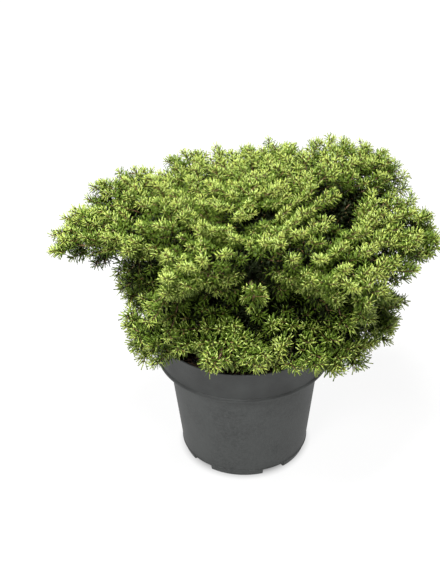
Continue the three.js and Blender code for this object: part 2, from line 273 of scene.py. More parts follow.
# Needles: shares of their width, and degrees from the shoot at its foot and at its tip
NEEDLE_TIP_SHARE = 0.8
NEEDLE_FOOT_ANGLE = 72
NEEDLE_TIP_ANGLE = 22
NEEDLE_ANGLE_SPREAD = 8
NEEDLE_TURN_SPREAD = 0.2
NEEDLE_PARTING = 0.2
NEEDLE_LENGTHS = (0.82, 1.08)
SHORT_NEEDLE_SHARE = 0.7
NARROW_NEEDLE_SHARE = 0.72
END_NEEDLE_LOSS = 0.42
FEWEST_NEEDLES = 6
LONG_SPACING_SHARE = 1.6
TWIG_SPACING_SHARE = 1.7
# Inner shoots bear fewer and wider needles, which in the shaded tone fill the crown's dark inside as painted
# shade
INNER_SPACING_SHARE = 4
INNER_WIDTH_SHARE = 2.1
YOUNG_FROM = 0.68

# Tones: how deep a shoot's tip lies in the crown, how deep the place above and outwards of it lies,
# the odds that a shoot in the light is young, on a twig that points up or not, or is hidden, and how
# glossy the wax of each tone is. A shoot deep in the crown, or under foliage above and outwards of it,
# takes a darker tone as painted shade: the mature tone also stands for half shade, and the shaded tone
# for deep shade, both less glossy.
OUTER_DEPTH = 15
INNER_DEPTH = 25
COVER_HEIGHT = 24
COVER_OUT = 14
COVER_DEPTH = 6
DEEP_COVER = 25
POINTS_UP = 0.15
YOUNG_ODDS = {"up": 0.5, "level": 0.3, "hidden": 0.1}
NEEDLE_WAX = {"young": 0.7, "fresh": 0.85, "mature": 0.25, "shaded": 0.15}
NEEDLED_TIERS = (("top", "crown"), ("shelf",), ("skirt",))

# Stage: floor and softboxes in metres, and the softboxes' power in watts
FLOOR_SIZE = 60
FLOOR_DROP = 0.0002
FLOOR_GLOW = 0.93
# Radii over which the floor's glow fades in from under the pot: a painted contact shadow
PAINTED_CONTACT_SHADOW_MM = (BASE_RADIUS - 16, BASE_RADIUS + 9)
HORIZON = (0.16, 0.3)
BACKDROP = (0.95, 0.08)
SOFTBOXES = (
    ("softbox_above", (-0.2, -0.2, 1.9), 0.6, 84),
    ("softbox_front", (-0.6, -1.35, 1.5), 0.5, 34),
)
LIGHT_AIM = (0, 0, 0.2)

# Camera, in metres and degrees: the view of a tall picture 440 by 587 pixels
CAMERA_DISTANCE = 1.6
CAMERA_ELEVATION = 34.25
CAMERA_ROLL = -0.98
CAMERA_TARGET_HEIGHT = 0.196
CAMERA_SIDESTEP = -0.02515
PICTURE_HEIGHT_PX = 587
FOCAL_PX = 1507.2
SENSOR_MM = 36

# The inputs at which a colour mix has its two colours, and its output
MIX_A, MIX_B, MIXED = 6, 7, 2
# Where a mottle's darker tone ends and its lighter tone starts, in its noise
MOTTLE_ENDS = (0.35, 0.68)

Shoot = namedtuple("Shoot", "foot direction up length tier own young")


def linear(hex_colour):
    """An sRGB hex colour as linear red, green, blue and alpha."""
    channels = [int(hex_colour[i : i + 2], 16) / 255 for i in (1, 3, 5)]
    curve = [c / 12.92 if c <= 0.04045 else ((c + 0.055) / 1.055) ** 2.4 for c in channels]
    return (*curve, 1.0)


def length_property(name, description, default):
    return bpy.props.FloatProperty(
        name=name, description=description, default=default, min=0, unit="LENGTH", precision=4
    )


def count_property(name, description, default, least=1):
    return bpy.props.IntProperty(name=name, description=description, default=default, min=least)


def colour_property(name, description, hex_colour):
    return bpy.props.FloatVectorProperty(
        name=name, description=description, default=linear(hex_colour), size=4, min=0, max=1, subtype="COLOR"
    )


class SpruceSizes(bpy.types.PropertyGroup):
    """Sizes, in metres, and counts that change how full and how fine the plant is."""

    needle_length: length_property("Needle length", "Length of a needle at a shoot's middle", 0.0110)
    needle_width: length_property("Needle width", "Width of a needle's foot", 0.00155)
    needle_spacing: length_property("Needle spacing", "Length of shoot for each needle", 0.00050)
    shoot_length: length_property("Shoot length", "Length of a side shoot of this year", 0.0150)
    twigs: count_property("Twigs", "Twigs tried in a mass of foliage of middling size", 84)
    side_shoots: count_property("Side shoots", "Side shoots tried on each twig", 8, 0)
    bark_relief: length_property("Bark relief", "Height of the bark's scales", 0.0009)
    chips: count_property("Bark chips", "Chips of bark that lie on the compost", 520)
    chip_length: length_property("Chip length", "Length of a chip of bark", 0.011)


class SpruceColours(bpy.types.PropertyGroup):
    """Colours of the plant, its pot and the stage."""

    young: colour_property("Young needles", "New growth at the shoots' tips", "#929F3E")
    fresh: colour_property("Fresh needles", "Needles of this year in the light", "#829332")
    # Older needles. This tone is also painted half shade on needles a little deep in the crown or under
    # foliage
    mature: colour_property("Mature needles", "Older needles", "#4B6013")
    # Painted shade: the tone of needles deep in the crown, and of needles well covered by foliage above them
    shaded: colour_property("Shaded needles", "Needles inside the crown", "#141D04")
    shoots: colour_property("Shoots and buds", "Bark of this year's shoots, and their buds", "#80683C")
    twigs: colour_property("Twigs", "Bark of twigs a few years old", "#5A4229")
    bark: colour_property("Bark", "Bark of trunk and boughs", "#5A4330")
    pot: colour_property("Pot", "Moulded pot plastic", "#2D2F2E")
    compost: colour_property("Compost", "Moist composted bark", "#2B2119")
    chips: colour_property("Bark chips", "Dry faces of bark chips", "#4A3626")
    floor: colour_property("Floor", "Acrylic of the table, which its own light whitens", "#4A4A49")


def sizes():
    return bpy.context.scene.spruce_sizes


def colours():
    return bpy.context.scene.spruce_colours


# Materials: sizes of patterns and reliefs are in metres
def set_inputs(tree, node, inputs):
    """Gives a node's inputs their values, or links the sockets that stand in a value's place."""
    for name, value in inputs.items():
        if isinstance(value, bpy.types.NodeSocket):
            tree.links.new(value, node.inputs[name])
        else:
            node.inputs[name].default_value = value


def add_node(tree, kind, inputs=None, output=0, **settings):
    """Adds a shader node with its settings and inputs, and gives one of its outputs."""
    node = tree.nodes.new("ShaderNode" + kind)
    for name, value in settings.items():
        setattr(node, name, value)
    set_inputs(tree, node, inputs or {})
    return node.outputs[output]


def new_material(name, colour, roughness, ior=1.5):
    """A material, its tree and its one shader."""
    material = bpy.data.materials.new(name)
    material.use_nodes = True
    material.diffuse_color = colour
    tree = material.node_tree
    shader = tree.nodes["Principled BSDF"]
    set_inputs(tree, shader, {"Base Color": tuple(colour), "Roughness": roughness, "IOR": ior})
    return material, tree, shader


def shade(colour, factor):
    """A linear colour made lighter or darker."""
    return (*(min(1.0, c * factor) for c in colour[:3]), 1.0)


def mottle(tree, colour, low, high, size, detail=3):
    """A noise between a darker and a lighter tone of a colour, as a colour socket and a value socket."""
    place = add_node(tree, "TexCoord", output="Object")
    noise = add_node(tree, "TexNoise", {"Vector": place, "Scale": 1 / size, "Detail": detail})
    tone = add_node(tree, "ValToRGB", {"Fac": noise})
    for stop, position, factor in zip(tone.node.color_ramp.elements, MOTTLE_ENDS, (low, high)):
        stop.position = position
        stop.color = shade(colour, factor)
    return tone, noise


def crumbly_material(name, colour, roughness, low, high, size, detail, strength, relief):
    """A material mottled between two tones, whose paler spots stand up."""
    material, tree, shader = new_material(name, colour, roughness)
    tone, height = mottle(tree, colour, low, high, size, detail)
    bump = add_node(tree, "Bump", {"Height": height, "Strength": strength, "Distance": relief})
    set_inputs(tree, shader, {"Base Color": tone, "Normal": bump})
    return material


def needle_material(name, colour, wax):
    """Spruce needle: a plain green, with a soft gloss where its wax is still whole."""
    material, tree, shader = new_material(name, colour, roughness=0.52)
    set_inputs(tree, shader, {"Specular IOR Level": wax})
    return material


def young_bark_material(name, colour):
    """Smooth bark of the first years, tan on shoots and buds and darker on twigs, seen as fine lines
    between the needles."""
    return new_material(name, colour, roughness=0.6)[0]


def bark_material():
    """Scaly spruce bark: thin plates about 3 mm wide, brown on top and darker in the cracks."""
    colour = colours().bark
    material, tree, shader = new_material("scaly_spruce_bark", colour, roughness=0.88)
    tone, _ = mottle(tree, colour, low=0.55, high=1.45, size=0.006)
    place = add_node(tree, "TexCoord", output="Object")
    edges = add_node(tree, "TexVoronoi", {"Vector": place, "Scale": 1 / 0.003}, feature="DISTANCE_TO_EDGE")
    plates = add_node(tree, "MapRange", {"Value": edges, "From Max": 0.12})
    crack_mix = {"Factor": plates, MIX_A: shade(colour, 0.35), MIX_B: tone}
    cracked = add_node(tree, "Mix", crack_mix, MIXED, data_type="RGBA")
    bump = add_node(tree, "Bump", {"Height": plates, "Strength": 0.7, "Distance": 0.0006})
    set_inputs(tree, shader, {"Base Color": cracked, "Normal": bump})
    return material


def pot_material():
    """Recycled polypropylene, injection moulded with a fine spark-eroded grain: dull, slightly cloudy
    grey, speckled with dust below the collar, which leaves the collar darker as painted shade from the
    crown above it, and painted much darker in one small spot."""
    colour = colours().pot
    material, tree, shader = new_material("moulded_recycled_polypropylene", colour, 0.6, 1.49)
    clouds, _ = mottle(tree, colour, low=0.6, high=1.26, size=0.03, detail=12)
    place = add_node(tree, "TexCoord", output="Object")
    speckle = {"Vector": place, "Scale": 1 / 0.0035, "Detail": 6, "Roughness": 0.8}
    dust = add_node(tree, "TexNoise", speckle)
    dusted = add_node(tree, "MapRange", {"Value": dust, "From Min": 0.35, "From Max": 0.65})
    # Dust lightens only the wall below the collar: real dust on the wall, and the collar kept darker as
    # painted shade from the crown above it
    height = add_node(tree, "SeparateXYZ", {"Vector": place}, "Z")
    collar_foot = (POT_HEIGHT - COLLAR_HEIGHT) * MM
    below = {"From Min": collar_foot + 3 * MM, "From Max": collar_foot + MM, "To Min": 0.1}
    wall_dust_collar_shade_mask = add_node(tree, "MapRange", {"Value": height, **below})
    dust_and_collar_shade_amount = add_node(tree, "Math", {0: dusted, 1: wall_dust_collar_shade_mask}, operation="MULTIPLY")
    dust_and_collar_shade_mix = {"Factor": dust_and_collar_shade_amount, MIX_A: clouds, MIX_B: shade(colour, 1.8)}
    dusted_with_collar_shade = add_node(tree, "Mix", dust_and_collar_shade_mix, MIXED, data_type="RGBA")
    # One small spot on the wall's right side is painted much darker
    dark_spot = tuple(c * MM for c in DARK_SPOT)
    from_dark_spot = add_node(tree, "VectorMath", {0: place, 1: dark_spot}, "Value", operation="DISTANCE")
    near = {"From Min": DARK_SPOT_RADIUS * MM, "From Max": DARK_SPOT_RADIUS * 0.5 * MM}
    in_dark_spot = add_node(tree, "MapRange", {"Value": from_dark_spot, **near})
    dark_spot_mix = {"Factor": in_dark_spot, MIX_A: dusted_with_collar_shade, MIX_B: shade(colour, 0.2)}
    spotted_dark = add_node(tree, "Mix", dark_spot_mix, MIXED, data_type="RGBA")
    # The real grain is about 0.1 mm, too fine for a picture of the whole plant, so it is drawn at 1.5 mm
    grain = add_node(tree, "TexNoise", {"Vector": place, "Scale": 1 / 0.0015, "Detail": 2})
    bump = add_node(tree, "Bump", {"Height": grain, "Strength": 0.5, "Distance": 0.0004})
    rough = add_node(tree, "MapRange", {"Value": dust, "To Min": 0.52, "To Max": 0.72})
    set_inputs(tree, shader, {"Base Color": spotted_dark, "Roughness": rough, "Normal": bump})
    return material


def compost_material():
    """Moist composted bark: dark crumbs about 3 mm across, near black in the low spots between them."""
    look = {"low": 0.35, "high": 1.6, "size": 0.003, "detail": 6, "strength": 0.9, "relief": 0.0015}
    return crumbly_material("moist_composted_bark", colours().compost, 0.9, **look)


def chip_material():
    """Pine bark chips: reddish brown, mottled with drier, paler spots that stand up."""
    look = {"low": 0.4, "high": 1.5, "size": 0.009, "detail": 4, "strength": 0.5, "relief": 0.0006}
    return crumbly_material("pine_bark_chips", colours().chips, 0.85, **look)


# Meshes
def finished(piece, name, nodes, material):
    """Names a piece, sets its material and its place in the frame, and hides the nodes that it stands for.
    """
    piece.name = name
    piece.data.name = name
    piece.data.materials.clear()
    piece.data.materials.append(material)
    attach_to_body(piece, "root")
    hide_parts(*nodes)


def piece_of_many(name, slot, nodes, material, points, triangles):
    """A piece of many small parts, from points in millimetres and triangles of their numbers."""
    mesh = bpy.data.meshes.new(name)
    mesh.vertices.add(len(points))
    mesh.vertices.foreach_set("co", (points * MM).astype(np.float32).ravel())
    mesh.loops.add(triangles.size)
    mesh.loops.foreach_set("vertex_index", triangles.astype(np.int32).ravel())
    mesh.polygons.add(len(triangles))
    mesh.polygons.foreach_set("loop_start", np.arange(0, triangles.size, 3, dtype=np.int32))
    mesh.update(calc_edges=True)
    piece = bpy.data.objects.new(name, mesh)
    bpy.context.scene.collection.objects.link(piece)
    finished(piece, name, nodes, material)


def set_mode(mode):
    bpy.ops.object.mode_set(mode=mode)


def edit(action):
    """Opens the active mesh for editing, with all of it selected or deselected."""
    set_mode("EDIT")
    bpy.ops.mesh.select_all(action=action)


def close_outwards():
    """Turns the open mesh's selected faces outwards, and ends the editing."""
    bpy.ops.mesh.normals_make_consistent(inside=False)
    set_mode("OBJECT")


def deselect_all():
    if bpy.context.object and bpy.context.object.mode != "OBJECT":
        set_mode("OBJECT")
    bpy.ops.object.select_all(action="DESELECT")


def added(add_primitive, **settings):
    """A new primitive, with its place and size put into its mesh."""
    deselect_all()
    add_primitive(**settings)
    bpy.ops.object.transform_apply()
    return bpy.context.object


def select_only(piece):
    deselect_all()
    piece.select_set(True)
    bpy.context.view_layer.objects.active = piece


def turned_shell(rings, sides):
    """A round solid: a circle extruded from ring to ring of radius and height, then closed at both ends."""
    radius, height = rings[0]
    middle = (0, 0, height * MM)
    piece = added(bpy.ops.mesh.primitive_circle_add, vertices=sides, radius=radius * MM, location=middle)
    edit("SELECT")
    for next_radius, next_height in rings[1:]:
        rise = (next_height - height) * MM
        bpy.ops.mesh.extrude_region_move(TRANSFORM_OT_translate={"value": (0, 0, rise)})
        share = next_radius / radius
        bpy.ops.transform.resize(value=(share, share, 1), center_override=(0, 0, next_height * MM))
        radius, height = next_radius, next_height
    bpy.ops.mesh.select_all(action="DESELECT")
    bpy.ops.mesh.select_non_manifold()
    bpy.ops.mesh.fill_holes(sides=0)
    bpy.ops.mesh.select_all(action="SELECT")
    close_outwards()
    return piece


def apply_modifier(piece, kind, **settings):
    """Adds a modifier to a piece and applies it."""
    bpy.context.view_layer.objects.active = piece
    modifier = piece.modifiers.new(kind.title(), kind)
    for name, value in settings.items():
        setattr(modifier, name, value)
    bpy.ops.object.modifier_apply(modifier=modifier.name)


def relief_texture(name, kind, size):
    """A texture to raise a relief by, of a size in millimetres."""
    texture = bpy.data.textures.new(name, kind)
    texture.noise_scale = size * MM
    return texture


# Pot
def pot_rings():
    """The pot's profile, from the middle of its underside, up its outside, over the rim and down inside."""
    bevel = BASE_CHAMFER * 0.3
    ridge = WALL_FOOT_RADIUS + FOOT_RIDGE
    collar_foot = POT_HEIGHT - COLLAR_HEIGHT
    bead = COLLAR_FOOT_RADIUS + COLLAR_BEAD
    ledge = collar_foot + WALL
    foot = [
        (HUB_RADIUS, 0),
        (BASE_RADIUS - BASE_CHAMFER, 0),
        (BASE_RADIUS - bevel, bevel),
        (BASE_RADIUS, BASE_CHAMFER),
        (WALL_FOOT_RADIUS - 0.45, BAY_HEIGHT - 0.8),
        (ridge, BAY_HEIGHT),
        (ridge, BAY_HEIGHT + 0.5),
    ]
    wall = [
        (WALL_FOOT_RADIUS + 0.2, BAY_HEIGHT + 1.4),
        (WALL_TOP_RADIUS - 0.6, collar_foot - 4),
        (WALL_TOP_RADIUS, collar_foot - 1),
        (WALL_TOP_RADIUS + 1, collar_foot),
    ]
    collar = [
        (COLLAR_FOOT_RADIUS, collar_foot),
        (bead, collar_foot + COLLAR_BEAD * 0.5),
        (bead + 0.25, collar_foot + COLLAR_BEAD * 1.4),
        (bead, collar_foot + COLLAR_BEAD * 2.2),
        (COLLAR_FOOT_RADIUS + 0.4, collar_foot + COLLAR_BEAD * 3.2),
    ]
    rim = [(RIM_RADIUS - inward, POT_HEIGHT - down) for inward, down in LIP_RINGS]
    inside = [
        (COLLAR_FOOT_RADIUS - WALL, ledge + 1),
        (COLLAR_FOOT_RADIUS - WALL - 1, ledge),
        (WALL_TOP_RADIUS - WALL, ledge),
        (WALL_FOOT_RADIUS - WALL, FLOOR_TOP),
        (HUB_RADIUS, FLOOR_TOP),
    ]
    return foot + wall + collar + rim + inside


def bay_cutters():
    """Blocks and drills that cut the drainage bays between the feet, and the holes in their roofs."""
    outer = WALL_FOOT_RADIUS + BAY_OVERRUN
    width = 2 * BASE_RADIUS * math.sin(math.radians(BAY_WIDTH_DEG / 2))
    cutters = []
    for i in range(BAY_COUNT):
        azimuth = math.radians(FOOT_AZIMUTH + 360 / BAY_COUNT * (i + 0.5))
        middle = ((BAY_INNER_RADIUS + outer) / 2 * MM, 0, (BAY_HEIGHT - 1) / 2 * MM)
        extent = ((outer - BAY_INNER_RADIUS) * MM, width * MM, (BAY_HEIGHT + 1) * MM)
        block = added(bpy.ops.mesh.primitive_cube_add, size=1, location=middle, scale=extent)
        edit("DESELECT")
        set_mode("OBJECT")
        for vertex in block.data.vertices:
            vertex.select = vertex.co.x < (BAY_INNER_RADIUS + 1) * MM
        set_mode("EDIT")
        bpy.ops.transform.resize(value=(1, BAY_INNER_RADIUS / BASE_RADIUS, 1), center_override=(0, 0, 0))
        drill = added(
            bpy.ops.mesh.primitive_cylinder_add,
            vertices=DRAIN_SIDES,
            radius=DRAIN_RADIUS * MM,
            depth=DRAIN_DEPTH * MM,
            location=(DRAIN_CENTRE_RADIUS * MM, 0, (BAY_HEIGHT + 1) * MM),
        )
        for cutter in (block, drill):
            cutter.data.transform(Matrix.Rotation(azimuth, 4, "Z"))
            cutters.append(cutter)
    return cutters


def make_pot():
    pot = turned_shell(pot_rings(), POT_SIDES)
    for cutter in bay_cutters():
        apply_modifier(pot, "BOOLEAN", operation="DIFFERENCE", solver="EXACT", object=cutter)
        bpy.data.objects.remove(cutter)
    edges = {"limit_method": "ANGLE", "angle_limit": math.radians(ROUNDED_ANGLE)}
    apply_modifier(pot, "BEVEL", width=EDGE_ROUNDING * MM, segments=2, **edges)
    select_only(pot)
    bpy.ops.object.shade_smooth_by_angle(angle=math.radians(SHARP_ANGLE))
    finished(pot, "nursery_pot", ["pot"], pot_material())


# Compost
def make_compost():
    inner = COLLAR_FOOT_RADIUS - WALL - COMPOST_GAP
    wall_foot = WALL_FOOT_RADIUS - WALL - COMPOST_GAP
    wall_top = WALL_TOP_RADIUS - WALL - COMPOST_GAP
    floor = FLOOR_TOP + COMPOST_GAP
    ledge = POT_HEIGHT - COLLAR_HEIGHT + WALL + COMPOST_GAP
    side = [(HUB_RADIUS, floor), (wall_foot, floor), (wall_top, ledge), (inner, ledge)]
    top = [(inner - step, COMPOST_TOP) for step in COMPOST_RINGS_IN]
    dome = [(radius, COMPOST_TOP + COMPOST_DOME) for radius in COMPOST_DOME_RINGS]
    compost = turned_shell(side + top + dome, COMPOST_SIDES)
    top_points = [v.index for v in compost.data.vertices if v.co.z > (COMPOST_TOP - 1) * MM]
    compost.vertex_groups.new(name="top").add(top_points, 1.0, "REPLACE")
    crumbs = relief_texture("crumbs", "CLOUDS", CRUMB_SIZE)
    crumbs.noise_depth = 3
    rise = {"direction": "Z", "strength": CRUMB_RISE * MM, "mid_level": CRUMB_LEVEL}
    apply_modifier(compost, "DISPLACE", texture=crumbs, vertex_group="top", **rise)
    select_only(compost)
    bpy.ops.object.shade_smooth()
    finished(compost, "compost_fill", ["compost"], compost_material())


def turned(first, second, angles):
    """Two coordinates of the corners of many parts, each part turned by its own angle."""
    cos, sin = np.cos(angles)[:, None], np.sin(angles)[:, None]
    return first * cos - second * sin, first * sin + second * cos


def copies(faces, corners, count):
    """The triangles of many like parts, from one part's and its number of corners."""
    return (np.array(faces)[None] + corners * np.arange(count)[:, None, None]).reshape(-1, 3)


def chips_of_bark(count, length):
    """Angular chips that lie on the compost at all angles, as points and triangles."""
    random = np.random.default_rng(SEED)
    corners = np.array([[x, y, z] for z in (-1, 1) for y in (-1, 1) for x in (-1, 1)], float)
    faces = [(0, 2, 3, 1), (4, 5, 7, 6), (0, 1, 5, 4), (2, 6, 7, 3), (0, 4, 6, 2), (1, 3, 7, 5)]
    size = random.uniform(*CHIP_SIZES, (count, 1, 1))
    chips = corners * (length / 2 * CHIP_HALVES) * size * random.uniform(*CHIP_CORNERS, (count, 8, 3))
    turn = random.uniform(0, math.tau, count)
    tilt = random.normal(0, CHIP_TILT, count)
    x, y, z = chips[..., 0], chips[..., 1], chips[..., 2]
    x, z = turned(x, z, tilt)
    x, y = turned(x, y, turn)
    outer = COLLAR_FOOT_RADIUS - WALL - length
    radius = np.sqrt(random.uniform(*CHIP_SPREAD, count)) * outer
    around = random.uniform(0, math.tau, count)
    level = COMPOST_TOP + COMPOST_DOME * (radius < COMPOST_DOME_RADIUS) + random.uniform(*CHIP_LIFT, count)
    x = x + (radius * np.cos(around))[:, None]
    y = y + (radius * np.sin(around))[:, None]
    z = z + level[:, None]
    halves = [half for a, b, c, d in faces for half in ((a, b, c), (a, c, d))]
    return np.stack([x, y, z], axis=-1).reshape(-1, 3), copies(halves, 8, count)


# Crown
def seeded(seed):
    """Numbers from 0 to 1, the same on every run and in the part's source."""
    state = seed

    def draw():
        nonlocal state
        state = (state + 0x6D2B79F5) & 0xFFFFFFFF
        word = state
        word = ((word ^ (word >> 15)) * (word | 1)) & 0xFFFFFFFF
        word ^= (word + (word ^ (word >> 7)) * (word | 61)) & 0xFFFFFFFF
        return ((word ^ (word >> 14)) & 0xFFFFFFFF) / 4294967296

    return draw


def lerp(start, end, share):
    return start + (end - start) * share


def unit(vectors):
    return vectors / np.linalg.norm(vectors, axis=-1, keepdims=True)


def square_to(vector, axis):
    """A vector turned to stand square to an axis, one long."""
    return unit(vector - axis * (vector @ axis))


def beyond_bare(points):
    """How far points lie from the nearest spot that the foliage leaves bare, below 0 inside one."""
    nearest = np.full(points.shape[:-1], np.inf)
    for start, end, radius in BARE_SPOTS:
        run = np.subtract(end, start)
        along = np.clip((points - start) @ run / (run @ run), 0, 1)
        away = np.linalg.norm(points - start - along[..., None] * run, axis=-1) - radius
        nearest = np.minimum(nearest, away)
    return nearest


@dataclass(eq=False)
class Lobe:
    """The space of one mass of foliage: a flattened ball, cut by flat walls to its neighbours, and the
    bough that carries it. The mass on the trunk's tip has no bough, and faces no way outward."""

    name: str
    number: int
    outward: np.ndarray
    middle: np.ndarray
    axes: np.ndarray
    halves: np.ndarray
    bough_radius: float = 0
    attach: float = 0

    def share(self, offsets):
        """How far offsets go from the middle: 1 is to the ball's surface."""
        shares = np.abs(offsets @ self.axes.T / self.halves)
        return np.sum(shares**LOBE_SQUARENESS, axis=-1) ** (1 / LOBE_SQUARENESS)

    def build_walls(self, lobes):
        self.crown = lobes
        normals, offsets = [], []
        for other in lobes:
            if other is not self:
                way = other.middle - self.middle
                share = other.share(way) / (self.share(way) + other.share(way))
                normal = unit(way)
                normals.append(normal)
                offsets.append(normal @ (self.middle + way * share))
        self.wall_normals = np.array(normals)
        self.wall_offsets = np.array(offsets)

    def walled_in(self, points, margin):
        """Whether points lie within this lobe's walls, and clear of the pot."""
        past = points @ self.wall_normals.T - self.wall_offsets
        in_pot = np.hypot(points[..., 0], points[..., 1]) < RIM_RADIUS + POT_CLEARANCE
        in_pot &= points[..., 2] < POT_HEIGHT + POT_CLEARANCE
        return ~in_pot & (past.max(axis=-1) < -margin)

    def holds(self, points, margin):
        """Whether points lie in this lobe's own space."""
        return self.walled_in(points, margin) & (self.share(points - self.middle) <= 1)

    def feeds(self, points, margin):
        """Whether this lobe's twigs grow at points: within its walls, where the notches between the balls
        of foliage are filled, and clear of the pot and the bare spots."""
        shares = np.stack([np.maximum(lobe.share(points - lobe.middle), LEAST_SHARE) for lobe in self.crown])
        filled = np.sum(shares**-BLEND, axis=0) >= 1
        return self.walled_in(points, margin) & filled & (beyond_bare(points) > 0)

    def reach_along(self, direction, held):
        """How far one can go from the middle in a direction and stay in a space of the lobe."""
        points = self.middle + direction * np.arange(1, FARTHEST_REACH)[:, None]
        return np.argmin(held(points, CELL_MARGIN))

    def bough_tip(self):
        inward = -self.axes[0]
        return self.middle + inward * self.reach_along(inward, self.holds) * BOUGH_ENTRY

    def bough_radius_at(self, share):
        return lerp(self.bough_radius, BOUGH_TIP_RADIUS, share)


def lay_out_lobes():
    lobes = []
    for tier in TIERS:
        count = len(tier["reach"])
        tilt = math.radians(tier["tilt"])
        for i in range(count):
            azimuth = math.radians(tier["azimuth"][i])
            before = tier["azimuth"][i - 1] - (360 if i == 0 else 0)
            after = tier["azimuth"][(i + 1) % count] + (360 if i == count - 1 else 0)
            outward = np.array([math.cos(azimuth), math.sin(azimuth), 0.0])
            middle_radius = (tier["reach"][i] + tier["inner_radius"]) / 2
            middle = outward * middle_radius + UP * tier["level"][i]
            across = np.cross(UP, outward)
            axis = outward * math.cos(tilt) + UP * math.sin(tilt)
            axes = np.array([axis, across, np.cross(axis, across)])
            half_length = (tier["reach"][i] - tier["inner_radius"]) / 2
            half_width = math.radians(after - before) / 4 * middle_radius * SIDE_FILL
            halves = np.array([half_length, half_width, tier["half_height"][i]])
            attach = tier["attach"][i % len(tier["attach"])]
            lobe = Lobe(tier["name"], i + 1, outward, middle, axes, halves, tier["bough_radius"], attach)
            lobes.append(lobe)
    lobes.append(Lobe("crown", 1, None, CROWN_MIDDLE, np.eye(3), CROWN_HALVES))
    for lobe in lobes:
        lobe.build_walls(lobes)
    return lobes


def bezier(controls, shares):
    """Points of a cubic curve at even shares of its length."""
    fine = np.linspace(0, 1, CURVE_POINTS)[:, None]
    weights = np.hstack([(1 - fine) ** 3, 3 * (1 - fine) ** 2 * fine, 3 * (1 - fine) * fine**2, fine**3])
    points = weights @ np.array(controls)
    lengths = np.concatenate([[0], np.cumsum(np.linalg.norm(np.diff(points, axis=0), axis=1))])
    wanted = np.asarray(shares) * lengths[-1]
    return np.stack([np.interp(wanted, lengths, points[:, k]) for k in range(3)], axis=-1)


def trunk_controls():
    return [TRUNK_FOOT, TRUNK_FOOT + TRUNK_RISE, TRUNK_TIP - TRUNK_LEAN, TRUNK_TIP]


def trunk_radius(share):
    flare = TRUNK_FLARE * math.exp(-share / TRUNK_FLARE_SHARE)
    return lerp(TRUNK_FOOT_RADIUS, TRUNK_TIP_RADIUS, share) + flare


def bough_controls(lobe):
    share = (lobe.attach - TRUNK_FOOT[2]) / (TRUNK_TIP[2] - TRUNK_FOOT[2])
    start = bezier(trunk_controls(), share) + lobe.outward * (trunk_radius(share) + GAP + LEAN_ROOM)
    tip = lobe.bough_tip()
    level_run = np.linalg.norm(tip - start) * BOUGH_LEVEL_SHARE
    return [start, start + lobe.outward * level_run, tip - lobe.axes[0] * level_run, tip]


def make_limb(node, controls, radius_at, steps, relief, bark):
    """A limb: a round curve with its own radius at each step, made a mesh and given scaly relief."""
    deselect_all()
    bpy.ops.curve.primitive_bezier_curve_add(location=(0, 0, 0))
    curve = bpy.context.object.data
    curve.dimensions = "3D"
    points = curve.splines[0].bezier_points
    start, after, before, end = (Vector(point * MM) for point in controls)
    handles = ((start, start * 2 - after, after), (end, before, end * 2 - before))
    for point, (place, left, right) in zip(points, handles):
        point.handle_left_type = point.handle_right_type = "FREE"
        point.co, point.handle_left, point.handle_right = place, left, right
    set_mode("EDIT")
    bpy.ops.curve.select_all(action="SELECT")
    bpy.ops.curve.subdivide(number_cuts=steps - 1)
    set_mode("OBJECT")
    points = curve.splines[0].bezier_points
    for i, point in enumerate(points):
        point.radius = radius_at(i / (len(points) - 1))
    curve.bevel_depth = MM
    curve.bevel_resolution = LIMB_FINENESS
    curve.resolution_u = LIMB_FINENESS
    curve.use_fill_caps = True
    bpy.ops.object.convert(target="MESH")
    limb = bpy.context.object
    edit("SELECT")
    bpy.ops.mesh.remove_doubles(threshold=WELD_DISTANCE * MM)
    close_outwards()
    scales = bpy.data.textures.get("bark_scales")
    scales = scales or relief_texture("bark_scales", "VORONOI", BARK_SCALE)
    apply_modifier(limb, "DISPLACE", texture=scales, strength=relief, mid_level=0.5)
    select_only(limb)
    bpy.ops.object.shade_smooth()
    finished(limb, node + "_bark", [node], bark)


class Growth:
    """The stems, twigs and shoots of the crown, how deep in it each shoot's tip lies, and how deep the
    place above and outwards of that, which is what covers it: both set the needles' painted shade."""

    def __init__(self):
        self.stems = []
        self.twigs = []
        self.shoots = []


def of_all(shoots, field):
    """One field of each of many shoots."""
    return np.array([getattr(shoot, field) for shoot in shoots])


def tips_of(shoots):
    return of_all(shoots, "foot") + of_all(shoots, "direction") * of_all(shoots, "length")[:, None]


def shortness(height):
    """From 0 low on the plant, where needles are long and shoots wide apart, to 1 at its top."""
    return np.clip((height - LONG_NEEDLE_HEIGHT) / (SHORT_NEEDLE_HEIGHT - LONG_NEEDLE_HEIGHT), 0, 1)


